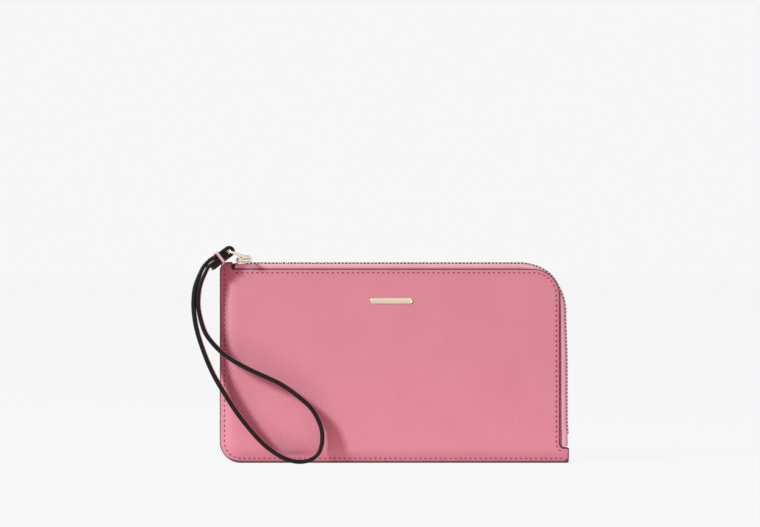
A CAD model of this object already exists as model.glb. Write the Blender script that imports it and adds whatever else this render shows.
import random
from math import atan, copysign, cos, dist, exp, hypot, pi, radians, sin, sqrt

import bpy
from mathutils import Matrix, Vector
from mathutils.geometry import delaunay_2d_cdt


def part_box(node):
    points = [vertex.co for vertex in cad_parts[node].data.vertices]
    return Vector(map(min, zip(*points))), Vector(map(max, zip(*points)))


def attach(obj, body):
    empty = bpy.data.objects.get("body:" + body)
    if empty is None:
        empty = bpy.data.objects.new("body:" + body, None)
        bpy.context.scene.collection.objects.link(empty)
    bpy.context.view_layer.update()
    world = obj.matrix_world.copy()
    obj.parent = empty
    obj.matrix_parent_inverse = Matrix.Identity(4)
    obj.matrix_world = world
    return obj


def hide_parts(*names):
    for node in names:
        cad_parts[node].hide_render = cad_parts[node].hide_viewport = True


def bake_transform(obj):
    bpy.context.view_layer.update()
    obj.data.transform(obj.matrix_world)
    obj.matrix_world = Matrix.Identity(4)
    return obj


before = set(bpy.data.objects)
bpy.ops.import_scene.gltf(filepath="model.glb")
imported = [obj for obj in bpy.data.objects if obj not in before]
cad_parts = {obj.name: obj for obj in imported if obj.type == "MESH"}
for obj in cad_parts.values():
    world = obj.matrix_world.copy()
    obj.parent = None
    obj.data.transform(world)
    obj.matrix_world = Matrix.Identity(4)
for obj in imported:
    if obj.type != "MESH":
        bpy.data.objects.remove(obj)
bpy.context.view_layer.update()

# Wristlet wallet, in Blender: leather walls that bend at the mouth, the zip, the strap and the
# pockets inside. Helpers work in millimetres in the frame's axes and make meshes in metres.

MM = 0.001
random.seed(7)


def box_mm(node):
    """A CAD node's lowest and highest corner, in millimetres."""
    return [[v / MM for v in corner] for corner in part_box(node)]


# ---------- Sizes, in millimetres ----------

BODY_LOW, BODY_HIGH = box_mm("back_panel")
HALF_W = BODY_HIGH[0]
HEIGHT = BODY_HIGH[2]
MID_HALF = BODY_HIGH[1]
# The walls are thin at the sewn edges, reach their full thickness over the ramp, and swell a little
EDGE_HALF = 2.9
RAMP = 8.0
SWELL, SWELL_REACH = 0.35, 40
WAVE, WAVE_REACH = 0.10, 15
# Both walls are cut back in an L at the top right, between the ear at the left and the low tab
END_TAB_LAP = 5.1
EAR_X = box_mm("mouth_end_tabs")[0][0] + END_TAB_LAP
CUT_TOP, CUT_RIGHT = 4.0, 5.2
MOUTH_Z = HEIGHT - CUT_TOP
MOUTH_X = HALF_W - CUT_RIGHT
TAB_H = 8.6
# Corners: bottom left, top left, the bend, the tab's inner one, bottom right, and the small ones
CORNER_R = 12.0
EAR_R = 5.0
MOUTH_R = 15.0
TAB_FILLET = 2.4
FOOT_R = 1.0
SMALL_R = 0.8
# The layers of one wall, and how far the lining stays from the edges and from the zip's lip
LEATHER = 1.5
BOARD = 0.9
WALL = 2.9
LINING_GAP = 0.3
FLANGE = 13.0
# The seams' distance from the edge, and from one stitch to the next
EDGE_SEAM = 2.7
MOUTH_SEAM = 2.1
STITCH_PITCH = 2.85

# The zip: its outer edge is a straight top, a bend and a straight right side
LIP_X = HALF_W - 0.8
LIP_Z = HEIGHT - 1.1
LIP_R = 27.0
BEND_X = LIP_X - LIP_R
BEND_Z = LIP_Z - LIP_R
ZIP_START_X = EAR_X + 1.4
ZIP_END_Z = TAB_H + 0.6
TOP_RUN = BEND_X - ZIP_START_X
BEND_RUN = LIP_R * pi / 2
ZIP_RUN = TOP_RUN + BEND_RUN + BEND_Z - ZIP_END_Z
CHAIN_IN = -0.1
TOOTH_PITCH = 2.08
# How far the right side leans in, from which height, and over what rise it does so
LEANS = ((0.6, 14, 12), (0.8, 55, 32))

WALLS = ((-1, "front"), (1, "back"))
BACK = Vector((0, 1, 0))


def move_with_wall(piece, side):
    """Lets a piece of the front wall (side -1) bend at the fold. The back wall doesn't bend."""
    if side < 0:
        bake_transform(piece)
    else:
        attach(piece, "pouch")


# ---------- Camera: level, straight on, far away, in millimetres ----------

CAMERA_X, CAMERA_Z, CAMERA_AWAY = -8.1, 113.1, 2000.0
FIELD_W = 431.7
camera_data = bpy.data.cameras.new("camera")
camera_data.sensor_width = 36
camera_data.lens = 36 * CAMERA_AWAY / FIELD_W
camera_data.clip_end = 50
camera = bpy.data.objects.new("camera", camera_data)
camera.location = (CAMERA_X * MM, -CAMERA_AWAY * MM, CAMERA_Z * MM)
camera.rotation_euler = (pi / 2, 0, 0)
bpy.context.collection.objects.link(camera)
bpy.context.scene.camera = camera


# ---------- Materials ----------

def feed(tree, socket, value):
    """Links a value to a socket or sets it there; None leaves the socket alone."""
    if isinstance(value, bpy.types.NodeSocket):
        tree.links.new(value, socket)
    elif value is not None:
        socket.default_value = (*value, 1) if socket.type == "RGBA" and len(value) == 3 else value


def node(tree, kind, *values, **settings):
    """Adds a shader node. Values fill its inputs in order, as numbers or links."""
    n = tree.nodes.new("ShaderNode" + kind)
    for key, value in settings.items():
        setattr(n, key, value)
    for socket, value in zip(n.inputs, values):
        feed(tree, socket, value)
    return n


def math_node(tree, operation, *values):
    return node(tree, "Math", *values, operation=operation).outputs[0]


def mix_colour(tree, share, a, b):
    n = node(tree, "Mix", share, data_type="RGBA")
    feed(tree, n.inputs[6], a)
    feed(tree, n.inputs[7], b)
    return n.outputs[2]


def noise(tree, where, scale, detail=2.0, rough=0.5):
    return node(tree, "TexNoise", where, None, scale, detail, rough).outputs[0]


def ramp(tree, value, low, high, to_low=0.0, to_high=1.0):
    """Maps low..high to to_low..to_high, smoothly and clamped."""
    n = node(tree, "MapRange", value, low, high, to_low, to_high, interpolation_type="SMOOTHSTEP")
    return n.outputs[0]


def bump(tree, height, distance_mm, strength=1.0, over=None):
    n = node(tree, "Bump", strength, distance_mm * MM)
    feed(tree, n.inputs["Height"], height)
    feed(tree, n.inputs["Normal"], over)
    return n.outputs[0]


def new_material(name, roughness, metallic=0.0, **sockets):
    """A material with its principled shader; the other values set the shader's sockets by name."""
    material = bpy.data.materials.new(name)
    material.use_nodes = True
    tree = material.node_tree
    shader = tree.nodes["Principled BSDF"]
    for key, value in dict(sockets, Roughness=roughness, Metallic=metallic).items():
        feed(tree, shader.inputs[key.replace("_", " ")], value)
    return material, tree, shader


def colour_to(tree, shader, colour, normal, roughness=None):
    for key, value in (("Base Color", colour), ("Normal", normal), ("Roughness", roughness)):
        feed(tree, shader.inputs[key], value)


def flat_uv(tree):
    """The piece's own coordinates along and across it, in millimetres."""
    return node(tree, "UVMap", uv_map="mm").outputs[0]


def object_mm(tree):
    place = node(tree, "TexCoord").outputs["Object"]
    return node(tree, "VectorMath", place, (1000, 1000, 1000), operation="MULTIPLY").outputs[0]


PINK = (0.720, 0.226, 0.292)
PINK_DEEP = (0.570, 0.138, 0.196)
PAINT = (0.050, 0.016, 0.020)
SPECK = (0.86, 0.45, 0.50)
GRAIN_PITCH, GRAIN_LEAN = 1.15, 52


def cross_grain(tree, uv, pitch):
    """Fine lozenges pressed into the coat by two sets of slanting lines."""
    lean = radians(GRAIN_LEAN)
    parts = node(tree, "SeparateXYZ", uv).outputs
    wander = math_node(tree, "MULTIPLY", noise(tree, uv, 0.35, 3), 2.6)
    rows = []
    for side in (-1, 1):
        across = math_node(tree, "MULTIPLY", parts[0], side * sin(lean))
        along = math_node(tree, "MULTIPLY_ADD", parts[1], cos(lean), across)
        turn = math_node(tree, "MULTIPLY_ADD", along, 2 * pi / pitch, wander)
        rows.append(math_node(tree, "MULTIPLY_ADD", math_node(tree, "COSINE", turn), 0.5, 0.5))
    lozenge = math_node(tree, "MULTIPLY", rows[0], rows[1])
    return math_node(tree, "POWER", lozenge, 0.55)


def leather_material(name, base, deep, grain=1.0, rim_paint=True, pitch=GRAIN_PITCH,
                     coat=0.08, dull=None):
    """Cross-grained leather. Its colour dulls between two lengths along it, if dull gives them."""
    material, tree, shader = new_material(name, 0.42, Coat_Weight=coat, Coat_Roughness=0.3,
                                          Specular_IOR_Level=0.2)
    uv = flat_uv(tree)
    lozenge = cross_grain(tree, uv, pitch)
    cloud = noise(tree, uv, 0.035, 3)
    speck = noise(tree, uv, 1.7, 3, 0.6)
    tone = mix_colour(tree, ramp(tree, cloud, 0.3, 0.7, 0.0, 0.16), base, deep)
    tone = mix_colour(tree, ramp(tree, lozenge, 0.0, 0.75, 0.30 * grain, 0.0), tone, deep)
    tone = mix_colour(tree, ramp(tree, speck, 0.62, 0.8, 0.0, 0.12), tone, SPECK)
    if dull:
        along = node(tree, "SeparateXYZ", uv).outputs[0]
        tone = mix_colour(tree, ramp(tree, along, *dull, 0.0, 0.6), tone, deep)
    grain_bump = bump(tree, lozenge, 0.10 * grain, 0.75)
    normal = bump(tree, noise(tree, uv, 0.09, 2), 0.5, 0.25, grain_bump)
    roughness = ramp(tree, speck, 0.3, 0.75, 0.36, 0.52)
    if rim_paint:
        edge = node(tree, "Attribute", attribute_name="rim").outputs["Fac"]
        wobble = math_node(tree, "MULTIPLY_ADD", noise(tree, uv, 0.5, 2), 0.35, -0.17)
        edge = math_node(tree, "ADD", edge, wobble)
        tone = mix_colour(tree, ramp(tree, edge, 0.42, 0.62, 1.0, 0.0), tone, PAINT)
        groove = ramp(tree, edge, 0.9, 1.5)
        tone = mix_colour(tree, ramp(tree, edge, 0.6, 1.6, 0.22, 0.0), tone, deep)
        normal = bump(tree, groove, 0.12, 0.6, normal)
    colour_to(tree, shader, tone, normal, roughness)
    return material


def paint_material(name, base=PAINT, layered=False, worn_tone=(0.17, 0.055, 0.06), shine=0.3):
    """Edge paint: a slightly uneven, satin coat with worn spots."""
    material, tree, shader = new_material(name, 0.45, Coat_Weight=0.2 * shine, Coat_Roughness=0.3,
                                          Specular_IOR_Level=shine)
    uv = flat_uv(tree)
    worn = noise(tree, uv, 0.22, 4, 0.65)
    tone = mix_colour(tree, ramp(tree, worn, 0.45, 0.8, 0.0, 0.5), base, worn_tone)
    height = noise(tree, uv, 0.8, 3)
    if layered:
        across = node(tree, "SeparateXYZ", uv).outputs[1]
        line = math_node(tree, "SINE", math_node(tree, "MULTIPLY", across, 2 * pi / 1.45))
        height = math_node(tree, "MULTIPLY_ADD", line, 0.25, height)
        tone = mix_colour(tree, ramp(tree, line, 0.6, 1.0, 0.0, 0.35), tone, (0.24, 0.08, 0.09))
    colour_to(tree, shader, tone, bump(tree, height, 0.12, 0.5))
    return material


def fabric_material(name, base, dark, pitch, twill=False):
    """A plain or twill weave over the piece's own coordinates."""
    material, tree, shader = new_material(name, 0.85, Sheen_Weight=0.25, Sheen_Roughness=0.5)
    uv = flat_uv(tree)
    parts = node(tree, "SeparateXYZ", uv).outputs
    shift = math_node(tree, "MULTIPLY", parts[1], 1.0 if twill else 0.0)
    u = math_node(tree, "MULTIPLY", math_node(tree, "ADD", parts[0], shift), 2 * pi / pitch)
    v = math_node(tree, "MULTIPLY", parts[1], 2 * pi / pitch)
    warp, weft = math_node(tree, "SINE", u), math_node(tree, "SINE", v)
    weave = math_node(tree, "MULTIPLY_ADD", math_node(tree, "MULTIPLY", warp, weft), 0.5, 0.5)
    slub = noise(tree, uv, 0.4, 3)
    tone = mix_colour(tree, ramp(tree, weave, 0.1, 0.9), dark, base)
    tone = mix_colour(tree, ramp(tree, slub, 0.35, 0.75, 0.0, 0.35), tone, dark)
    colour_to(tree, shader, tone, bump(tree, weave, 0.08, 0.8))
    return material


def metal_material(name, base, brushed=False, flanks=False):
    """Pale gold plate with faint smudges and fine scratches; a tooth's flanks and head are dull."""
    material, tree, shader = new_material(name, 0.2, 1.0)
    where = object_mm(tree)
    stretch = (0.15, 1.0, 3.0) if brushed else (1.0, 1.0, 1.0)
    where = node(tree, "VectorMath", where, stretch, operation="MULTIPLY").outputs[0]
    smudge = noise(tree, where, 0.35, 3)
    scratch = noise(tree, where, 2.6, 4, 0.7)
    tone = mix_colour(tree, ramp(tree, smudge, 0.35, 0.7, 0.0, 0.3), base, [0.8 * c for c in base])
    if flanks:
        parts = node(tree, "SeparateXYZ", flat_uv(tree)).outputs
        side = ramp(tree, math_node(tree, "ABSOLUTE", parts[0]), 0.34, 0.46)
        head = ramp(tree, parts[1], 0.9, 1.5, 0.75, 0.0)
        dull = math_node(tree, "MAXIMUM", side, head)
        tone = mix_colour(tree, dull, tone, (0.15, 0.11, 0.09))
    rough = ramp(tree, scratch, 0.3, 0.8, 0.16, 0.34 if brushed else 0.26)
    colour_to(tree, shader, tone, bump(tree, scratch, 0.02, 0.35), rough)
    return material


def thread_material(name, base):
    """Twisted sewing thread."""
    material, tree, shader = new_material(name, 0.6, Sheen_Weight=0.3, Sheen_Roughness=0.4)
    parts = node(tree, "SeparateXYZ", flat_uv(tree)).outputs
    lay = math_node(tree, "MULTIPLY_ADD", parts[1], 3.0, math_node(tree, "MULTIPLY", parts[0], 9.0))
    twist = math_node(tree, "MULTIPLY_ADD", math_node(tree, "SINE", lay), 0.5, 0.5)
    tone = mix_colour(tree, ramp(tree, twist, 0.1, 0.7, 0.55, 0.0), base, [0.55 * c for c in base])
    colour_to(tree, shader, tone, bump(tree, twist, 0.06, 0.8))
    return material


def felt_material(name, base):
    material, tree, shader = new_material(name, 0.95)
    where = object_mm(tree)
    fluff = noise(tree, where, 1.4, 5, 0.7)
    tone = mix_colour(tree, ramp(tree, fluff, 0.3, 0.7), [0.7 * c for c in base], base)
    colour_to(tree, shader, tone, bump(tree, fluff, 0.15, 0.6))
    return material


PANEL = leather_material("panel_leather", PINK, PINK_DEEP)
BINDING = leather_material("binding_leather", (0.84, 0.37, 0.43), (0.60, 0.22, 0.28), 0.3, False,
                           0.8, 0.3, (TOP_RUN, TOP_RUN + BEND_RUN))
SLOT = leather_material("slot_leather", PINK, PINK_DEEP, 0.8)
KEEPER = leather_material("keeper_leather", (0.74, 0.40, 0.45), (0.55, 0.25, 0.30), 0.4, False)
STRAP_FACE = leather_material("strap_leather", (0.66, 0.24, 0.30), PINK_DEEP, 0.6, False)
EDGE_PAINT = paint_material("edge_paint")
EDGE_STACK = paint_material("edge_stack", layered=True)
STRAP_PAINT = paint_material("strap_edge_paint", (0.010, 0.005, 0.005),
                             worn_tone=(0.030, 0.014, 0.014), shine=0.15)
LINING = fabric_material("lining_cloth", (0.62, 0.47, 0.43), (0.44, 0.31, 0.28), 0.7, True)
TAPE = fabric_material("zip_tape", (0.66, 0.27, 0.32), (0.50, 0.17, 0.22), 0.5)
TAPE_END = fabric_material("zip_tape_end", (0.20, 0.045, 0.07), (0.10, 0.02, 0.03), 0.5)
THREAD = thread_material("sewing_thread", (0.31, 0.045, 0.08))
TEETH = metal_material("zip_teeth", (0.84, 0.77, 0.62), flanks=True)
STOP = metal_material("zip_stop", (0.80, 0.74, 0.58))
GOLD = metal_material("pale_gold", (0.93, 0.87, 0.70))
BADGE = metal_material("badge_gold", (0.87, 0.76, 0.56), brushed=True)
FELT = felt_material("stiffener_felt", (0.50, 0.42, 0.33))
SUEDE = felt_material("end_tab_suede", (0.55, 0.20, 0.25))


# ---------- Mesh helpers ----------

def make_piece(name, points, faces, materials, uv=None, rim=None, slots=None, sharp=40):
    """A smooth-shaded object from points in millimetres, with its own coordinates in mm."""
    mesh = bpy.data.meshes.new(name)
    mesh.from_pydata([Vector(p) * MM for p in points], [], faces)
    piece = bpy.data.objects.new(name, mesh)
    bpy.context.collection.objects.link(piece)
    for material in materials:
        mesh.materials.append(material)
    layer = mesh.uv_layers.new(name="mm")
    for loop in mesh.loops:
        p = points[loop.vertex_index]
        layer.data[loop.index].uv = uv[loop.vertex_index] if uv else (p[0], p[2])
    if rim:
        values = mesh.attributes.new("rim", "FLOAT", "POINT")
        values.data.foreach_set("value", rim)
    if slots:
        mesh.polygons.foreach_set("material_index", slots)
    mesh.shade_smooth()
    mesh.set_sharp_from_angle(angle=radians(sharp))
    mesh.update()
    return piece


def strip(first, second, flip=False, wrap=True):
    """Quads between two rows of point numbers; wrap joins the rows' ends too."""
    faces = []
    for i in range(len(first) if wrap else len(first) - 1):
        j = (i + 1) % len(first)
        if flip:
            faces.append((first[i], second[i], second[j], first[j]))
        else:
            faces.append((first[i], first[j], second[j], second[i]))
    return faces


def skin(rows, width, start=0, flip=False, wrap=True, loop=False):
    """Quads over rows of points that follow each other; loop joins the last row to the first."""
    rings = [range(start + i * width, start + (i + 1) * width) for i in range(rows)]
    pairs = zip(rings, rings[1:] + (rings[:1] if loop else []))
    return [face for a, b in pairs for face in strip(a, b, flip, wrap)]


def tube(rows, width, start=0, flip=False):
    """A skin with a face over each of its two ends."""
    low = tuple(range(start, start + width))
    high = tuple(range(start + (rows - 1) * width, start + rows * width))
    ends = [low, high[::-1]] if flip else [low[::-1], high]
    return skin(rows, width, start, flip) + ends


def lengths(points):
    """How far along a row each of its points lies."""
    out = [0.0]
    for p, q in zip(points, points[1:]):
        out.append(out[-1] + dist(p, q))
    return out


def directions(points, closed=True):
    """The unit direction along a row of points, at each of them."""
    out = []
    count = len(points)
    for i in range(count):
        before = points[i - 1 if closed else max(i - 1, 0)]
        after = points[(i + 1) % count if closed else min(i + 1, count - 1)]
        out.append((Vector(after) - Vector(before)).normalized())
    return out


def sweep(name, stations, profile, materials, closed_path=False, edge_slots=None, sharp=40):
    """Carries a profile of (a, b) points along stations of (origin, a direction, b direction).

    edge_slots gives a material slot for each of the profile's edges."""
    count, width = len(stations), len(profile)
    points, uv = [], []
    girth = lengths(profile)
    runs = lengths([origin for origin, _, _ in stations])
    for (origin, a_dir, b_dir), run in zip(stations, runs):
        points += [origin + a * a_dir + b * b_dir for a, b in profile]
        uv += [(run, g) for g in girth]
    faces = skin(count, width, loop=True) if closed_path else tube(count, width)
    slots = edge_slots * (count - 1) + edge_slots[:1] * 2 if edge_slots else None
    return make_piece(name, points, faces, materials, uv, None, slots, sharp)


def arc(x, z, r, start, end, steps):
    """Points on an arc, angles in degrees, anticlockwise from +X as seen from the front."""
    turn = [radians(start + (end - start) * i / steps) for i in range(steps + 1)]
    return [(x + r * cos(a), z + r * sin(a)) for a in turn]


def spread(points, step, closed=True):
    """The same outline with points no further apart than step."""
    out = []
    pairs = zip(points, points[1:] + points[:1]) if closed else zip(points, points[1:])
    for p, q in pairs:
        n = max(1, round(dist(p, q) / step))
        out += [(p[0] + (q[0] - p[0]) * i / n, p[1] + (q[1] - p[1]) * i / n) for i in range(n)]
    return out if closed else out + [points[-1]]


def inward(points, distance):
    """A closed anticlockwise outline moved in along its corners' normals."""
    out = []
    for i, p in enumerate(points):
        a, b = Vector(points[i - 1]), Vector(points[(i + 1) % len(points)])
        before, after = (Vector(p) - a).normalized(), (b - Vector(p)).normalized()
        along = (before + after).normalized()
        out.append((p[0] - distance * along.y, p[1] + distance * along.x))
    return out


def smooth(t):
    t = min(max(t, 0.0), 1.0)
    return t * t * (3 - 2 * t)


# ---------- The walls ----------

def sewn_distance(x, z):
    """How far a point lies inside the sewn left and bottom edges."""
    left, low = x + HALF_W, z
    if left < CORNER_R and low < CORNER_R:
        return CORNER_R - hypot(CORNER_R - left, CORNER_R - low)
    return min(left, low)


def half_at(x, z):
    """Half of the pouch's thickness, with the soft swell of its walls."""
    t = sewn_distance(x, z)
    swell = SWELL
    for inside_by in (t, MOUTH_Z - z, MOUTH_X - x):
        swell *= smooth(inside_by / SWELL_REACH)
    wave = WAVE * sin(x / 17 + 1.3) * sin(z / 13 + 0.4) * smooth(t / WAVE_REACH)
    return EDGE_HALF + (MID_HALF - EDGE_HALF) * smooth(t / RAMP) + swell + wave


def on_wall(p, side, depth=0.0):
    """A point on one wall's outer face, or at a depth behind it."""
    return Vector((p[0], side * max(half_at(*p) - depth, 0.03), p[1]))


def panel_outline():
    """The outline of both panels, anticlockwise from the bottom left."""
    points = arc(CORNER_R - HALF_W, CORNER_R, CORNER_R, 180, 270, 18)
    points += arc(HALF_W - FOOT_R, FOOT_R, FOOT_R, 270, 360, 5)
    points += arc(HALF_W - SMALL_R, TAB_H - SMALL_R, SMALL_R, 0, 90, 5)
    points += arc(MOUTH_X + TAB_FILLET, TAB_H + TAB_FILLET, TAB_FILLET, 270, 180, 8)
    points += arc(MOUTH_X - MOUTH_R, MOUTH_Z - MOUTH_R, MOUTH_R, 0, 90, 22)
    points += arc(EAR_X + SMALL_R, MOUTH_Z + SMALL_R, SMALL_R, 270, 180, 5)
    points += arc(EAR_X - SMALL_R, HEIGHT - SMALL_R, SMALL_R, 0, 90, 5)
    points += arc(EAR_R - HALF_W, HEIGHT - EAR_R, EAR_R, 90, 180, 12)
    return spread(points, 2.0)


def lining_outline():
    """The lining and stiffener stop where the zip's flanges begin."""
    top, right, r = LIP_Z - FLANGE, LIP_X - FLANGE, LIP_R - FLANGE
    side = HALF_W - LINING_GAP
    points = arc(CORNER_R - HALF_W, CORNER_R, CORNER_R - LINING_GAP, 180, 270, 12)
    points += [(side, LINING_GAP), (side, TAB_H - LINING_GAP), (right, TAB_H - LINING_GAP)]
    points += arc(right - r, top - r, r, 0, 90, 10)
    points += [(EAR_X - LINING_GAP, top), (EAR_X - LINING_GAP, HEIGHT - 0.4)]
    points += arc(EAR_R - HALF_W, HEIGHT - EAR_R, EAR_R - LINING_GAP, 90, 180, 6)
    return spread(points, 3.0)


def distance_to(point, outline):
    """The shortest distance from a point to a closed outline."""
    best = 1e9
    px, pz = point
    for (ax, az), (bx, bz) in zip(outline, outline[1:] + outline[:1]):
        dx, dz = bx - ax, bz - az
        t = ((px - ax) * dx + (pz - az) * dz) / max(dx * dx + dz * dz, 1e-9)
        t = min(max(t, 0.0), 1.0)
        best = min(best, hypot(px - ax - t * dx, pz - az - t * dz))
    return best


def inside(point, outline):
    """Whether a point is inside a closed outline, by counting crossings."""
    x, z = point
    odd = False
    for (ax, az), (bx, bz) in zip(outline, outline[1:] + outline[:1]):
        if (az > z) != (bz > z) and x < ax + (z - az) * (bx - ax) / (bz - az):
            odd = not odd
    return odd


def fill(outline, step, rings=(), keep_off=None):
    """Triangles over an outline: the outline first, then rings and a grid of inner points."""
    edge = [Vector(p) for p in outline]
    inner = [Vector(p) for ring in rings for p in ring]
    xs = [p[0] for p in outline]
    zs = [p[1] for p in outline]
    keep_off = keep_off or 0.7 * step
    x = min(xs) + step / 2
    while x < max(xs):
        z = min(zs) + step / 2
        while z < max(zs):
            if inside((x, z), outline) and distance_to((x, z), outline) > keep_off:
                inner.append(Vector((x, z)))
            z += step
        x += step
    n = len(edge)
    borders = [(i, (i + 1) % n) for i in range(n)]
    out = delaunay_2d_cdt(edge + inner, borders, [], 1, 1e-4)
    return [tuple(p) for p in out[0]], [tuple(f) for f in out[2]]


def inner_ring(outline, reach):
    """Points at one distance inside an outline, without the crowded ones near its corners."""
    out = []
    for p in inward(outline, reach):
        clear = inside(p, outline) and distance_to(p, outline) > 0.95 * reach
        if clear and (not out or dist(p, out[-1]) > 0.9):
            out.append(p)
    return out


# The leather's face starts a little inside its outline. Rings of points near the outline keep
# long triangles off the seams, and a grid fills the rest.
FACE_INSET = 0.35
FACE_RINGS = (1.3, 2.5, 4.0, 6.0)
FACE_GRID, GRID_CLEAR = 3.0, 1.4
# The bead of paint goes round the rim to the back, as (inset, depth) points. On the face it laps
# a little further along the bottom edge. Points far from any rim have no paint.
RIM_BEAD = [(0.12, 0.12), (0.0, 0.42), (0.0, 1.08), (0.12, 1.38)]
LOW_PAINT = 0.8
FAR_FROM_RIM = 9.0


def wall_panel(name, side):
    """One leather panel with its rounded, painted edge; side is -1 for the front."""
    outline = panel_outline()
    face_edge = inward(outline, FACE_INSET)
    rings = [inner_ring(outline, reach) for reach in FACE_RINGS]
    flat, triangles = fill(face_edge, FACE_GRID, rings, FACE_RINGS[-1] + GRID_CLEAR)
    n = len(face_edge)
    points = [on_wall(p, side) for p in flat]
    rim = [distance_to(p, outline) - LOW_PAINT * (1 - smooth((p[1] - 1) / 3)) for p in flat]
    faces = [f if side < 0 else f[::-1] for f in triangles]
    slots = [0] * len(faces)
    last = range(n)
    for inset, depth in RIM_BEAD:
        new = range(len(points), len(points) + n)
        points += [on_wall(p, side, depth) for p in (inward(outline, inset) if inset else outline)]
        rim += [0.0] * n
        faces += strip(last, new, side < 0)
        last = new
    start = len(points)
    points += [on_wall(p, side, LEATHER) for p in flat]
    rim += [FAR_FROM_RIM] * len(flat)
    faces += strip(last, range(start, start + n), side < 0)
    slots += [1] * (len(faces) - len(slots))
    backs = [tuple(start + i for i in f) for f in triangles]
    faces += [f[::-1] if side < 0 else f for f in backs]
    slots += [0] * len(backs)
    return make_piece(name, points, faces, [PANEL, EDGE_PAINT], rim=rim, slots=slots, sharp=60)


def inner_layer(name, side, depth, material, thickness=0.0):
    """A layer behind the leather: a cloth surface, or a board with a thickness."""
    outline = lining_outline()
    flat, triangles = fill(outline, 4.0)
    points = [on_wall(p, side, depth) for p in flat]
    faces = [f[::-1] if side < 0 else f for f in triangles]
    if thickness:
        n, count = len(outline), len(flat)
        points += [on_wall(p, side, depth - thickness) for p in flat]
        faces += [tuple(i + count for i in f[::-1]) for f in faces]
        faces += strip(range(n), range(count, count + n), side < 0)
    return make_piece(name, points, faces, [material])


front_panel = wall_panel("front_panel", -1)
move_with_wall(front_panel, -1)
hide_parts("front_panel_upper", "front_panel_lower")

back_panel = wall_panel("rear_panel", 1)
move_with_wall(back_panel, 1)
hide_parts("back_panel")

for side, label in WALLS:
    board = inner_layer(label + "_board", side, LEATHER + BOARD + 0.02, FELT, BOARD - 0.06)
    cloth = inner_layer(label + "_lining_cloth", side, WALL, LINING)
    move_with_wall(board, side)
    move_with_wall(cloth, side)
    if side < 0:
        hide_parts("front_stiffener_upper", "front_stiffener_lower")
        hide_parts("front_lining_upper", "front_lining_lower")
    else:
        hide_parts("back_stiffener")
        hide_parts("back_lining")


# The band's section: (share of its half width, how far it stands out)
BAND_CROWN = [(-1.0, -0.5), (-0.96, -0.05), (-0.8, 0.0), (-0.4, 0.05), (0.0, 0.08),
              (0.4, 0.05), (0.8, 0.0), (0.96, -0.05), (1.0, -0.5)]
BAND_LAP = 0.12


def sewn_edge():
    """The painted edge of the layers between the two panels, from the tab round to the ear."""
    path = [(MOUTH_X + 1.0, TAB_H)] + arc(HALF_W - SMALL_R, TAB_H - SMALL_R, SMALL_R, 90, 0, 4)
    path += arc(HALF_W - FOOT_R, FOOT_R, FOOT_R, 360, 270, 4)
    path += arc(CORNER_R - HALF_W, CORNER_R, CORNER_R, 270, 180, 18)
    path += arc(EAR_R - HALF_W, HEIGHT - EAR_R, EAR_R, 180, 90, 10)
    path += arc(EAR_X - SMALL_R, HEIGHT - SMALL_R, SMALL_R, 90, 0, 4) + [(EAR_X, MOUTH_Z - 4)]
    path = spread(path, 2.0, closed=False)
    points, uv = [], []
    for (x, z), along, run in zip(path, directions(path, closed=False), lengths(path)):
        reach = half_at(x, z) - LEATHER + BAND_LAP
        for share, crown in BAND_CROWN:
            rise = crown - BAND_LAP
            points.append(Vector((x - rise * along.y, share * reach, z + rise * along.x)))
            uv.append((run, share * reach))
    faces = skin(len(path), len(BAND_CROWN), wrap=False)
    return make_piece("sewn_edge", points, faces, [EDGE_STACK], uv)


band = sewn_edge()
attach(band, "pouch")


# ---------- Seams ----------

STITCH_RINGS, STITCH_SIDES = 7, 6
STITCH_LENGTH, STITCH_THICK = 1.75, 0.85
SEAM_END, TAB_TURN_R = 2.2, 4.4


def stitch_rings():
    """Where a stitch's rings lie along it, from 0 to 1, and how full it is at each."""
    shares = [r / (STITCH_RINGS - 1) for r in range(STITCH_RINGS)]
    return [(t, max(sin(pi * t), 0.0) ** 0.45) for t in shares]


def stitch_ring(centre, wide, high, across, out):
    """The points of one ring, and their turns round it."""
    turns = [2 * pi * k / STITCH_SIDES for k in range(STITCH_SIDES)]
    return [centre + wide * cos(t) * across + high * sin(t) * out for t in turns], turns


def place_on(path, run):
    """The (x, z) point at a length along a path."""
    for p, q in zip(path, path[1:]):
        d = dist(p, q)
        if run <= d:
            f = max(run, 0) / d
            return p[0] + (q[0] - p[0]) * f, p[1] + (q[1] - p[1]) * f
        run -= d
    return path[-1]


def stitches(name, path, side):
    """Single stitches along a path of (x, z) points on one wall; side is -1 for the front."""
    points, uv, faces = [], [], []
    total = lengths(path)[-1]
    count = int(total / STITCH_PITCH)
    start = (total - (count - 1) * STITCH_PITCH) / 2
    out = Vector((0, side, 0))
    for i in range(count):
        middle = start + i * STITCH_PITCH + random.uniform(-0.08, 0.08)
        size = STITCH_LENGTH * random.uniform(0.93, 1.05)
        a, b = place_on(path, middle - size / 2), place_on(path, middle + size / 2)
        along = Vector((b[0] - a[0], 0, b[1] - a[1])).normalized()
        across = Vector((along.z, 0, -along.x))
        slant = random.uniform(0.05, 0.16)
        faces += tube(STITCH_RINGS, STITCH_SIDES, len(points), flip=True)
        for t, belly in stitch_rings():
            x, z = a[0] + (b[0] - a[0]) * t, a[1] + (b[1] - a[1]) * t
            centre = on_wall((x, z), side) + out * (0.16 * belly - 0.14)
            centre += across * slant * (2 * t - 1)
            reach = STITCH_THICK / 2 * (0.25 + 0.75 * belly)
            ring, turns = stitch_ring(centre, reach, 0.8 * reach, across, out)
            points += ring
            uv += [(size * t, STITCH_THICK * turn / 2) for turn in turns]
    return make_piece(name, points, faces, [THREAD], uv, sharp=80)


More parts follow.
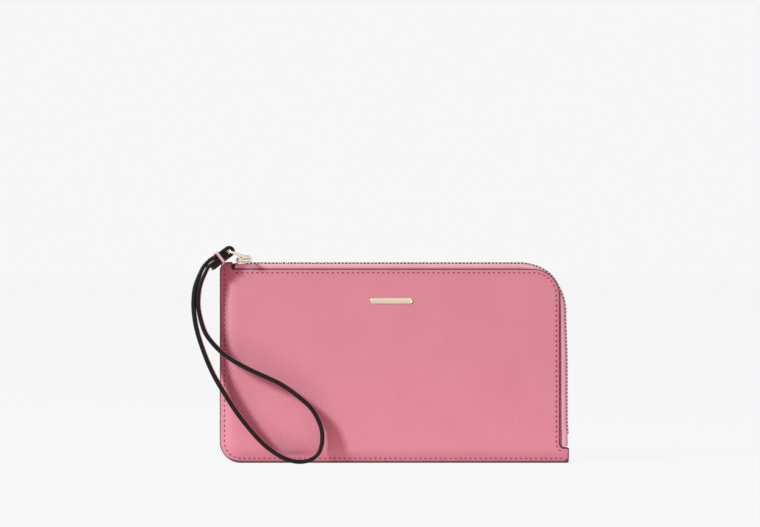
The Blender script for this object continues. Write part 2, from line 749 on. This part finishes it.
def edge_seam_path():
    """Down the left side and along the bottom, to a little short of each end."""
    path = [(EDGE_SEAM - HALF_W, HEIGHT - SEAM_END)]
    path += arc(CORNER_R - HALF_W, CORNER_R, CORNER_R - EDGE_SEAM, 180, 270, 16)
    return path + [(HALF_W - SEAM_END, EDGE_SEAM)]


def mouth_seam_path():
    """Along the mouth, and round the tab's inner corner."""
    x, z, r = MOUTH_X - MOUTH_SEAM, MOUTH_Z - MOUTH_SEAM, MOUTH_R - MOUTH_SEAM
    path = [(EAR_X + SMALL_R, z)] + arc(x - r, z - r, r, 90, 0, 18)
    return path + arc(x + TAB_TURN_R, TAB_H + SEAM_END, TAB_TURN_R, 180, 262, 8)


for side, label in WALLS:
    edge = stitches(label + "_edge_stitches", edge_seam_path(), side)
    mouth = stitches(label + "_mouth_stitches", mouth_seam_path(), side)
    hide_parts("edge_thread_" + label)
    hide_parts("mouth_thread_" + label)
    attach(edge, "pouch")
    move_with_wall(mouth, side)


# ---------- Zip ----------

def settled(place):
    """The zip's right side leans in a little towards its top, as the filled bend pulls on it."""
    lean = sum(far * smooth((place.z - start) / rise) for far, start, rise in LEANS)
    on_right = smooth((place.x - BEND_X - 16) / 9)
    return place - Vector((lean * on_right, 0, 0))


def zip_place(s, top, radius, start_x):
    """Place, outward and onward directions at a length along the zip, before it settles."""
    if s < top:
        return Vector((start_x + s, 0, BEND_Z + radius)), Vector((0, 0, 1)), Vector((1, 0, 0))
    if s < top + radius * pi / 2:
        turn = (s - top) / radius
        out = Vector((sin(turn), 0, cos(turn)))
        return Vector((BEND_X, 0, BEND_Z)) + radius * out, out, Vector((out.z, 0, -out.x))
    drop = s - top - radius * pi / 2
    return Vector((BEND_X + radius, 0, BEND_Z - drop)), Vector((1, 0, 0)), Vector((0, 0, -1))


def even_runs(start, end, step=2.0):
    """Evenly spaced lengths from start to end."""
    count = round((end - start) / step)
    return [start + (end - start) * i / count for i in range(count + 1)]


def zip_stations(runs):
    """Stations at lengths along the zip's outer edge: their directions point in, and along +Y."""
    out = []
    for s in runs:
        place, outward, _ = zip_place(s, TOP_RUN, LIP_R, ZIP_START_X)
        out.append((settled(place), -outward, BACK))
    return out


# Only the part of a strip this near to the lip's edge closes in at its ends
CLOSING_DEPTH = 4.0


def rounded_ends(stations, profile, name, material, side, reach):
    """A swept strip whose two ends close in softly, over the length reach."""
    mid_a, mid_b = (sum(p[axis] for p in profile) / len(profile) for axis in (0, 1))
    points, uv = [], []
    girth = lengths(profile)
    runs = lengths([place for place, _, _ in stations])
    for (place, down, back), run in zip(stations, runs):
        near = min(run, runs[-1] - run)
        size = sqrt(max(1 - (1 - min(near / reach, 1)) ** 2, 0.05 ** 2))
        for (a, b), g in zip(profile, girth):
            a = mid_a + (a - mid_a) * size if a < CLOSING_DEPTH else a
            b = mid_b + (b - mid_b) * size
            points.append(place + a * down + side * b * back)
            uv.append((run, g))
    faces = tube(len(stations), len(profile), flip=side < 0)
    piece = make_piece(name, points, faces, [material], uv, sharp=70)
    return piece


# (depth below the lip's edge, distance from the middle): the folded leather that holds the tape
LIP_PROFILE = [
    (12.6, 4.56), (4.6, 4.56), (3.6, 4.66), (2.9, 5.0), (2.3, 5.32), (1.6, 5.5), (0.9, 5.52),
    (0.4, 5.38), (0.1, 5.1), (0.0, 4.75), (0.1, 4.4), (0.4, 4.12), (0.9, 3.98), (12.6, 3.95),
]
TAPE_PROFILE = [
    (12.9, 3.88), (1.3, 3.88), (0.75, 3.8), (0.42, 3.55), (0.33, 3.2), (0.33, 1.5),
    (0.68, 1.5), (0.68, 3.1), (0.8, 3.35), (1.3, 3.45), (12.9, 3.45),
]
# The lip's stations are closer together at both ends, which are rounded
NEAR_END = [0.0, 0.05, 0.15, 0.3, 0.5, 0.7, 0.9]
LIP_RUNS = NEAR_END + even_runs(1.2, ZIP_RUN - 1.2) + [ZIP_RUN - s for s in NEAR_END[::-1]]
for side, label in WALLS:
    lip = rounded_ends(zip_stations(LIP_RUNS), LIP_PROFILE, label + "_zip_binding", BINDING,
                       side, 0.9)
    tape = rounded_ends(zip_stations(even_runs(0.4, ZIP_RUN - 0.4)), TAPE_PROFILE,
                        label + "_zip_tape", TAPE, side, 0.01)
    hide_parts(label + "_binding")
    move_with_wall(lip, side)
    move_with_wall(tape, side)
    if side < 0:
        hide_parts("front_tape", "front_tape_ends")
    else:
        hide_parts("back_tape")


def zip_end_fold():
    """The tapes' closed end, turned down into the pouch between the ear and the zip."""
    r = 0.55
    x, z = ZIP_START_X - 0.1, LIP_Z - 0.1
    path = [(ZIP_START_X + 1.6, z)] + arc(x, z - r, r, 90, 180, 6)
    path += [(x - r, z - 3.9), (x - r, z - 8.9)]
    stations = []
    for p, along in zip(path, directions(path, closed=False)):
        up = Vector((-along.y, 0, along.x))
        stations.append((Vector((p[0], 0, p[1])), BACK, up))
    section = [(-3.9, -0.5), (3.9, -0.5), (4.1, 0), (3.9, 0.6), (-3.9, 0.6), (-4.1, 0)]
    return sweep("zip_end_fold", stations, section, [TAPE_END])


end_fold = zip_end_fold()
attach(end_fold, "pouch")


def tooth_shape():
    """One tooth seen from above, as (along, across) points: a waist, a round head and a root."""
    half = [(0.46, 2.35), (0.60, 2.2), (0.60, 1.3), (0.40, 0.9), (0.28, 0.55), (0.40, 0.2),
            (0.44, -0.1), (0.3, -0.38), (0.1, -0.5)]
    return half + [(-a, b) for a, b in half[::-1]]


# A tooth's bevel: (height over its middle, size there)
TOOTH_LEVELS = [(-0.836, 0.72), (-0.684, 1.0), (0.0, 1.04), (0.684, 1.0), (0.836, 0.72)]
CHAIN_R = LIP_R - CHAIN_IN


def teeth(name, side, first, count):
    """A row of teeth; each is a bevelled block that straddles the tape."""
    shape = tooth_shape()
    points, faces, uv = [], [], []
    for i in range(count):
        s = i * TOOTH_PITCH + (TOOTH_PITCH / 2 if side > 0 else 0)
        place, out, along = zip_place(s, BEND_X - first, CHAIN_R, first)
        place = settled(place)
        faces += tube(len(TOOTH_LEVELS), len(shape), len(points), flip=side > 0)
        for height, size in TOOTH_LEVELS:
            narrow = 0.93 if size < 1 else 1
            for a, b in shape:
                across = Vector((0, side * (0.9 + (b - 0.9) * narrow), 0))
                points.append(place + along * a * size + out * height + across)
                uv.append((a, b))
    return make_piece(name, points, faces, [TEETH], uv, sharp=35)


FIRST_TOOTH = box_mm("front_teeth_end")[0][0] + 0.5
LAST_TOOTH_Z = 14.8
CHAIN = BEND_X - FIRST_TOOTH + CHAIN_R * pi / 2 + BEND_Z - LAST_TOOTH_Z
tooth_count = int(CHAIN / TOOTH_PITCH)
front_teeth = teeth("front_row_of_teeth", -1, FIRST_TOOTH, tooth_count)
back_teeth = teeth("back_row_of_teeth", 1, FIRST_TOOTH, tooth_count)
move_with_wall(front_teeth, -1)
move_with_wall(back_teeth, 1)
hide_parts("front_teeth", "front_teeth_end")
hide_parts("back_teeth")


# ---------- Slider ----------

def bevel(piece, width):
    """Rounds a piece's sharp edges for good."""
    modifier = piece.modifiers.new("bevel", "BEVEL")
    modifier.width = width * MM
    modifier.segments = 3
    modifier.limit_method = "ANGLE"
    modifier.angle_limit = radians(40)
    graph = bpy.context.evaluated_depsgraph_get()
    done = bpy.data.meshes.new_from_object(piece.evaluated_get(graph))
    piece.modifiers.clear()
    piece.data = done


def join(name, pieces):
    """One object from several, keeping their materials."""
    for p in bpy.context.selected_objects:
        p.select_set(False)
    for p in pieces:
        p.select_set(True)
    bpy.context.view_layer.objects.active = pieces[0]
    bpy.ops.object.join()
    pieces[0].name = name
    return pieces[0]


def plate(name, outline, z0, z1):
    """A flat metal plate with an (x, y) outline between two heights."""
    points = [Vector((x, y, z)) for z in (z0, z1) for x, y in outline]
    uv = [(p.x, p.y) for p in points]
    return make_piece(name, points, tube(2, len(outline)), [GOLD], uv)


def leaf(x0, x1, half):
    """The slider's outline from above: shoulders at the left, drawn in to the right."""
    right = [(x1 - 1.6, 0.66), (x1 - 0.7, 0.60), (x1 - 0.15, 0.40), (x1, 0.15)]
    left = [(x0, 0.45), (x0 + 0.3, 0.75), (x0 + 1.0, 0.93), (x0 + 2.4, 1.0), (x0 + 4.6, 0.95),
            (x0 + 6.6, 0.80)]
    top = left + right
    return [(x, -half * y) for x, y in top] + [(x, half * y) for x, y in top[::-1]]


# The visual teeth stand a little higher than the CAD's, so the slider does too. Its lower guides
# and its post start a little inside the lower wing.
SLIDER_LIFT = 0.55
SLIDER_BEVEL = 0.18
INTO_WING = 0.1
SLIDER_LOW, SLIDER_HIGH = box_mm("slider_body")
SLIDER_LOW[2] += SLIDER_LIFT
SLIDER_HIGH[2] += SLIDER_LIFT
BRIDGE_LOW, BRIDGE_HIGH = box_mm("slider_bridge")
UPPER_WING, LOWER_WING = SLIDER_HIGH[2] - 0.95, SLIDER_LOW[2] + 1.0
slider_parts = [
    plate("upper_wing", leaf(SLIDER_LOW[0], SLIDER_HIGH[0], SLIDER_HIGH[1]),
          UPPER_WING, SLIDER_HIGH[2]),
    plate("lower_wing", leaf(SLIDER_LOW[0], SLIDER_HIGH[0], SLIDER_HIGH[1] - 0.5),
          SLIDER_LOW[2], LOWER_WING),
]
guide_x = (SLIDER_LOW[0] + SLIDER_HIGH[0]) / 2 + 0.2
for side in (-1, 1):
    guide = [(-1, 2.6), (1, 2.6), (1, 3.2), (-1, 3.2)][::side]
    outline = [(guide_x + 2.8 * a, side * b) for a, b in guide]
    slider_parts.append(plate("guide", outline, SLIDER_HIGH[2] - 1.7, SLIDER_HIGH[2] - 1.0))
    slider_parts.append(plate("guide", outline, LOWER_WING - INTO_WING, SLIDER_LOW[2] + 1.6))
post = [(SLIDER_LOW[0] + x, y) for x, y in ((0.7, -0.2), (1.9, -0.2), (1.9, 0.2), (0.7, 0.2))]
slider_parts.append(plate("post", post, LOWER_WING - INTO_WING, SLIDER_HIGH[2] - 1.0))
for part in slider_parts:
    bevel(part, SLIDER_BEVEL)
slider = join("zip_slider", slider_parts)
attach(slider, "slider")
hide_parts("slider_body")


def slider_arch(steps=24):
    """The bridge over the slider: a square-shouldered arch with a rounded section."""
    middle = (BRIDGE_LOW[0] + BRIDGE_HIGH[0]) / 2
    reach = (BRIDGE_HIGH[0] - BRIDGE_LOW[0]) / 2 - 0.4
    rise = BRIDGE_HIGH[2] - BRIDGE_LOW[2] - 0.4
    path = []
    for i in range(steps + 1):
        turn = pi * i / steps
        x = -reach * copysign(abs(cos(turn)) ** 0.45, cos(turn))
        path.append((middle + x, BRIDGE_LOW[2] + rise * abs(sin(turn)) ** 0.45 - 0.15))
    stations = []
    for (x, z), along in zip(path, directions(path, closed=False)):
        stations.append((Vector((x, 0, z)), Vector((-along.y, 0, along.x)), BACK))
    half_w = BRIDGE_HIGH[1]
    section = [(-0.3, -half_w), (0.3, -half_w), (0.42, -half_w + 0.25), (0.45, 0),
               (0.42, half_w - 0.25), (0.3, half_w), (-0.3, half_w), (-0.42, 0)]
    return sweep("slider_arch", stations, section, [GOLD])


def dome(name, x, reach, rings=10, sides=28):
    """The upper half of an egg shape, standing on the slider."""
    centre = Vector((x, 0, SLIDER_HIGH[2] - 0.3))
    points, uv = [], []
    for r in range(rings):
        lift = pi / 2 * r / rings
        flat = cos(lift) ** 0.8
        for k in range(sides):
            turn = 2 * pi * k / sides
            points.append(centre + Vector((reach[0] * flat * cos(turn),
                                           reach[1] * flat * sin(turn),
                                           reach[2] * sin(lift))))
            uv.append((reach[0] * turn, reach[2] * lift))
    points.append(centre + Vector((0, 0, reach[2])))
    uv.append((0, 0))
    last = (rings - 1) * sides
    faces = skin(rings, sides) + [tuple(range(sides))[::-1]]
    faces += [(last + k, last + (k + 1) % sides, len(points) - 1) for k in range(sides)]
    return make_piece(name, points, faces, [GOLD], uv, sharp=60)


nose = dome("slider_nose", BRIDGE_HIGH[0] - 2.3, (2.6, 1.45, 1.6))
shoulder = dome("slider_shoulder", BRIDGE_LOW[0] + 0.4, (2.3, 1.45, 2.1))
bridge = join("slider_arch", [slider_arch(), nose, shoulder])
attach(bridge, "slider")
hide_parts("slider_bridge")


# ---------- Pull ring ----------

WIRE_R = 0.75
WIRE_SIDES = 14
# From the CAD ring's outside to the middle of its wire
WIRE_REACH = 0.85
RING_LOW, RING_HIGH = box_mm("zip_pull")
PIVOT = Vector((RING_HIGH[0] - WIRE_REACH, 0, RING_LOW[2] + WIRE_REACH))
BAR = Vector((RING_LOW[0] + WIRE_REACH, 0, RING_HIGH[2] - WIRE_REACH))


def soft_rectangle(x0, x1, y0, y1, r, steps):
    """A closed rectangle with round corners, its points 1.2 mm apart on the straight sides."""
    path = []
    for cx, cy, start in ((x1 - r, y1 - r, 0), (x0 + r, y1 - r, 90), (x0 + r, y0 + r, 180),
                          (x1 - r, y0 + r, 270)):
        path += arc(cx, cy, r, start, start + 90, steps)
    return spread(path, 1.2)


def closed_sweep(name, path, origin, x_dir, y_dir, up, profile, material, sharp):
    """Carries a profile round a closed flat path; its first direction points out of the path."""
    stations = []
    for (x, y), d in zip(path, directions(path)):
        stations.append((origin + x_dir * x + y_dir * y, x_dir * d.y - y_dir * d.x, up))
    return sweep(name, stations, profile, [material], closed_path=True, sharp=sharp)


def ring_piece():
    """A round wire bent to an oblong with soft corners, in the plane from the pivot to the bar."""
    along, back = (BAR - PIVOT).normalized(), BACK
    path = soft_rectangle(0, (BAR - PIVOT).length, RING_LOW[1] + WIRE_REACH,
                          RING_HIGH[1] - WIRE_REACH, 1.5, 8)
    turns = [2 * pi * k / WIRE_SIDES for k in range(WIRE_SIDES)]
    wire = [(WIRE_R * cos(t), WIRE_R * sin(t)) for t in turns]
    return closed_sweep("pull_ring_wire", path, PIVOT, along, back, along.cross(back), wire, GOLD, 80)


ring = ring_piece()
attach(ring, "pull")
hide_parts("zip_pull")


# ---------- Strap ----------

STRAP_W = 8.6
STRAP_T = 2.0
# The loop's leather is this share thicker than the pressed neck's
LOOP_PLUMP = 0.2
LAYER = STRAP_T + 0.1
FALL = radians(37)
NECK_ALONG = Vector((-cos(FALL), -sin(FALL)))
NECK_OUT = Vector((-sin(FALL), cos(FALL)))
BAR_FLAT = Vector((BAR.x, BAR.z))
BAR_Y = -8.4
# The strap starts down the neck at this slope forward, and ends this far in front of the bar
LEAN, LEAN_REACH = 0.42, 5.0
# Where the tail, the second end and the outer run's straight part end, from the bar
TAIL, SECOND_END, NECK_LEN = 13.6, 2.0, 9.0
JOIN = TAIL + 1.2
FOLD_STEPS = 16
SMOOTHING_PASSES = 8
STRAP_ROUTE = [
    (-104.6, 114.6), (-107.8, 111.3), (-109.7, 107.2), (-111.5, 102.7), (-112.7, 98.2),
    (-113.3, 91.2), (-113, 84.7), (-111.5, 75.7), (-108.7, 66.7), (-105.3, 57.6),
    (-101.1, 48.6), (-95.7, 39.6), (-89.9, 30.5), (-83.1, 21.5), (-75.2, 12.6), (-69.6, 7.9),
    (-62.8, 3.6), (-55.2, 1.3), (-48.6, 1.9), (-44, 4.6), (-41.3, 9), (-40.5, 15),
    (-41.4, 21.5), (-45.2, 29.4), (-50.4, 35.2), (-62, 44.1), (-71.2, 48.6), (-81.4, 53.2),
    (-90, 57.8), (-96.5, 62.2), (-101.2, 66.7), (-104.8, 71.1), (-107.5, 75.7), (-110, 84.7),
    (-110.7, 91.2), (-110.1, 98.2), (-108.9, 102.7), (-106.9, 107.2),
]


def neck(along, layers):
    """A flat point down the neck from the bar, a number of layers out from its middle."""
    return BAR_FLAT + along * NECK_ALONG + layers * LAYER * NECK_OUT


def curve_through(points, steps):
    """A Catmull-Rom curve through (x, z) points."""
    out = []
    for i in range(len(points) - 1):
        a, b = Vector(points[max(i - 1, 0)]), Vector(points[i])
        c, d = Vector(points[i + 1]), Vector(points[min(i + 2, len(points) - 1)])
        for k in range(steps):
            t = k / steps
            out.append(0.5 * (2 * b + (c - a) * t + (2 * a - 5 * b + 4 * c - d) * t * t
                              + (3 * b - a - 3 * c + d) * t ** 3))
    return out


def strap_point(p):
    """Leans the strap forward as it leaves the pull, as its loop hangs in front of the pouch."""
    away = (p - BAR_FLAT).length
    return Vector((p.x, BAR_Y - LEAN_REACH * (1 - exp(-LEAN * away / LEAN_REACH)), p.y))


def strap_route():
    """The tail, the fold round the bar, the outer run, the loop and the second end."""
    flat = [neck(TAIL - TAIL * i / 6, -1) for i in range(6)]
    for i in range(FOLD_STEPS + 1):
        turn = pi * i / FOLD_STEPS
        flat.append(BAR_FLAT - LAYER * (sin(turn) * NECK_ALONG + cos(turn) * NECK_OUT))
    flat += [neck(NECK_LEN * i / 4, 1) for i in range(1, 4)]
    loop = [neck(NECK_LEN, 1)] + [Vector(p) for p in STRAP_ROUTE] + [neck(JOIN, 0)]
    curve = curve_through(loop, 6)
    for _ in range(SMOOTHING_PASSES):
        curve[1:-1] = [(a + 2 * b + c) / 4 for a, b, c in zip(curve, curve[1:], curve[2:])]
    flat += curve
    flat += [neck(JOIN - (JOIN - SECOND_END) * i / 3, 0) for i in range(4)]
    return [strap_point(p) for p in flat]


def strap_profile():
    """The strap's section: flat faces, and crowned painted edges that lap a little onto them."""
    half_w, half_t, lap = STRAP_W / 2, STRAP_T / 2, 0.75
    bead = [(half_w - lap, half_t), (half_w - 0.42, half_t * 0.97), (half_w - 0.14, half_t * 0.7),
            (half_w, half_t * 0.28)]
    right = bead + [(a, -b) for a, b in bead[::-1]]
    return right + [(-a, -b) for a, b in right]


def band_stations(route):
    """Stations along the strap: across it, and out of its face, which the loop's plumpness scales."""
    out = []
    for p, along in zip(route, directions(route, closed=False)):
        across = (BACK - along.y * along).normalized()
        from_bar = dist((p.x, p.z), BAR_FLAT)
        plump = 1 + LOOP_PLUMP * smooth((from_bar - TAIL - 3) / 12)
        out.append((p, across, plump * along.cross(across)))
    return out


strap = sweep("strap_band", band_stations(strap_route()), strap_profile(),
              [STRAP_FACE, STRAP_PAINT], edge_slots=([1] * 7 + [0]) * 2, sharp=60)
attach(strap, "strap")
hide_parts("wrist_strap")


def neck_frame(along):
    """Place and directions on the neck: down it, across it, and out of its outer face."""
    slope = atan(LEAN * exp(-LEAN * along / LEAN_REACH))
    down, back = Vector((NECK_ALONG.x, 0, NECK_ALONG.y)), BACK
    return (strap_point(neck(along, 0)), cos(slope) * down - sin(slope) * back,
            cos(slope) * back + sin(slope) * down, Vector((NECK_OUT.x, 0, NECK_OUT.y)))


# From the neck's faces to the middle of the keeper's leather
KEEPER_REACH = 0.6


def keeper_piece():
    """A narrow leather band round the three layers of the neck."""
    place, down, across, out = neck_frame(7.0)
    half_w, half_h = STRAP_W / 2 + KEEPER_REACH, LAYER + STRAP_T / 2 + KEEPER_REACH
    path = soft_rectangle(-half_w, half_w, -half_h, half_h, 0.8, 6)
    section = [(-0.33, -0.7), (0.2, -0.78), (0.33, -0.6), (0.36, 0), (0.33, 0.6), (0.2, 0.78),
               (-0.33, 0.7)]
    return closed_sweep("keeper_band", path, place, across, out, down, section, KEEPER, 50)


keeper = keeper_piece()
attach(keeper, "keeper")
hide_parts("strap_keeper")


# Where the neck's stitches lie, and how much the outer layer has swelled out there
NECK_SEAM = ((9.9, 0.26), (11.8, 0.38))
NECK_STITCH = 1.7


def neck_stitches():
    """Short rows of stitches that hold the neck's layers together."""
    points, uv, faces = [], [], []
    for face, row in ((-1, -1), (-1, 1), (1, -1), (1, 1)):
        for at, plumper in NECK_SEAM:
            place, down, across, out = neck_frame(at)
            lift = LAYER + STRAP_T / 2 + 0.02 + (plumper if face > 0 else 0)
            centre = place + across * row * (STRAP_W / 2 - 1.6) + out * face * lift
            faces += tube(STITCH_RINGS, STITCH_SIDES, len(points))
            for t, belly in stitch_rings():
                middle = centre + down * (t - 0.5) * NECK_STITCH + out * face * 0.12 * (belly - 0.7)
                reach = 0.26 * (0.25 + 0.75 * belly)
                ring, turns = stitch_ring(middle, reach, reach, across, out)
                points += ring
                uv += [(NECK_STITCH * t, 0.3 * turn) for turn in turns]
    return make_piece("neck_stitches", points, faces, [THREAD], uv, sharp=80)


sewing = neck_stitches()
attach(sewing, "strap")
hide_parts("strap_thread")


# ---------- Badge ----------

# The walls swell a little more than the CAD's, so the badge stands out by this much more
BADGE_PROUD = 0.25


def badge_piece():
    """A plain pill with a raised rim."""
    low, high = box_mm("badge_plate")
    half_h = (high[2] - low[2]) / 2
    cx, cz = (low[0] + high[0]) / 2, (low[2] + high[2]) / 2
    reach = (high[0] - low[0]) / 2 - half_h
    face = low[1] - BADGE_PROUD
    rings = [(0.0, 0.55), (0.0, 0.2), (0.12, 0.04), (0.3, 0.0), (0.48, 0.04), (0.56, 0.14),
             (0.9, 0.16)]
    points = []
    for inset, depth in rings:
        r = half_h - inset
        ring = arc(cx + reach, cz, r, -90, 90, 14) + arc(cx - reach, cz, r, 90, 270, 14)
        points += [Vector((x, face + depth, z)) for x, z in ring]
    faces = tube(len(rings), len(points) // len(rings))
    return make_piece("badge_pill", points, faces, [BADGE], sharp=50)


badge = badge_piece()
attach(badge, "front_flap")
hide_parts("badge_plate")


# ---------- Pockets ----------

SLOT_NOTCH = 9.0


def pocket(name, cad, materials, notch):
    """A sheet on the back wall with rounded corners and, on a card slot, a thumb notch."""
    low, high = box_mm(cad)
    x0, x1, z0, z1 = low[0], high[0], low[2], high[2]
    cx = (x0 + x1) / 2
    corners = arc(x0 + 2, z0 + 2, 2, 180, 270, 5) + arc(x1 - 2, z0 + 2, 2, 270, 360, 5)
    corners += arc(x1 - 1, z1 - 1, 1, 0, 90, 4)
    if notch:
        dip = arc(0, 0, notch, 0, 180, 12)
        corners += [(cx + x, z1 - 0.55 * z) for x, z in dip]
    corners += arc(x0 + 1, z1 - 1, 1, 90, 180, 4)
    outline = spread(corners, 3.0)
    flat, triangles = fill(outline, 5.0)
    count, n = len(flat), len(outline)
    points = [Vector((x, y, z)) for y in (low[1], high[1]) for x, z in flat]
    near_top = z1 - 12
    rim = [distance_to(p, outline) if p[1] > near_top else FAR_FROM_RIM for p in flat] * 2
    faces = triangles + [tuple(i + count for i in f[::-1]) for f in triangles]
    slots = [0] * len(faces) + [len(materials) - 1] * n
    faces += strip(range(n), range(count, count + n), flip=True)
    return make_piece(name, points, faces, materials, rim=rim, slots=slots)


POCKETS = [("slip_pocket", "slip_pocket_cloth", [LINING], 0.0)]
POCKETS += [("card_slot_" + row, row + "_card_slot", [SLOT, EDGE_PAINT], SLOT_NOTCH)
            for row in ("rear", "middle", "front")]
for cad, name, materials, notch in POCKETS:
    piece = pocket(name, cad, materials, notch)
    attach(piece, "pouch")
    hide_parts(cad)


# ---------- CAD nodes that stay ----------

KEPT = {"top_stops": STOP, "bottom_stop": STOP, "mouth_end_tabs": SUEDE}
for name, material in KEPT.items():
    for slot in bpy.data.objects[name].material_slots:
        slot.material = material


# ---------- Floor and lights ----------

# How bright the paper looks, how bright the light from all round is, and how much of the paper's
# brightness is light that it gets, which a shadow takes away
PAPER = 0.93
AROUND = 0.478
AROUND_TINT = (1.0, 0.70, 0.80)
FLOOR_ALBEDO = 0.035
FLOOR_FROM_KEY = 0.010
FLOOR_REACH = 40
MIRRORED_PAPER = 0.7

# Pale paper that glows a little, so that it stays even and takes only a faint shadow
paper, _, _ = new_material("floor_paper", 1.0, Base_Color=(FLOOR_ALBEDO,) * 3, Specular_IOR_Level=0.0,
                           Emission_Color=(1, 1, 1),
                           Emission_Strength=PAPER - AROUND * FLOOR_ALBEDO - FLOOR_FROM_KEY)
sheet_of_paper = bpy.data.meshes.new("floor")
corners = [(x * FLOOR_REACH, y * FLOOR_REACH, 0) for x, y in ((-1, -1), (1, -1), (1, 1), (-1, 1))]
sheet_of_paper.from_pydata(corners, [], [(0, 1, 2, 3)])
sheet_of_paper.materials.append(paper)
floor = bpy.data.objects.new("floor", sheet_of_paper)
bpy.context.collection.objects.link(floor)
floor.visible_diffuse = False
floor.visible_shadow = False


def area_light(name, place, target, width, depth, energy, colour):
    data = bpy.data.lights.new(name, "AREA")
    data.shape = "RECTANGLE"
    data.size = width
    data.size_y = depth
    data.energy = energy
    data.color = colour
    light = bpy.data.objects.new(name, data)
    light.location = place
    light.rotation_euler = (Vector(target) - Vector(place)).to_track_quat("-Z", "Y").to_euler()
    light.visible_camera = False
    bpy.context.collection.objects.link(light)


# The cool key light lies high on the left, and a faint one lifts the bottom edge from below
area_light("key", (-2.5, -2.2, 1.9), (-0.02, 0, 0.06), 0.62, 0.62, 175, (0.64, 1.0, 0.906))
area_light("bounce", (0.01, -0.13, -0.10), (0.01, 0, 0.0), 0.40, 0.06, 0.14, (1.0, 0.98, 0.98))

# The camera sees plain paper all round, mirrors see much of it, and the rest is lit dimly and warmly
world = bpy.data.worlds.new("studio")
world.use_nodes = True
tree = world.node_tree
around = tree.nodes["Background"]
feed(tree, around.inputs[0], AROUND_TINT)
feed(tree, around.inputs[1], AROUND)
seen = node(tree, "Background", (1, 1, 1), PAPER)
rays = node(tree, "LightPath").outputs
mirrored = math_node(tree, "MULTIPLY", rays["Is Glossy Ray"], MIRRORED_PAPER)
choose = node(tree, "MixShader", math_node(tree, "MAXIMUM", rays["Is Camera Ray"], mirrored),
              around.outputs[0], seen.outputs[0])
tree.links.new(choose.outputs[0], tree.nodes["World Output"].inputs[0])
bpy.context.scene.world = world
bpy.context.scene.view_settings.view_transform = "Standard"
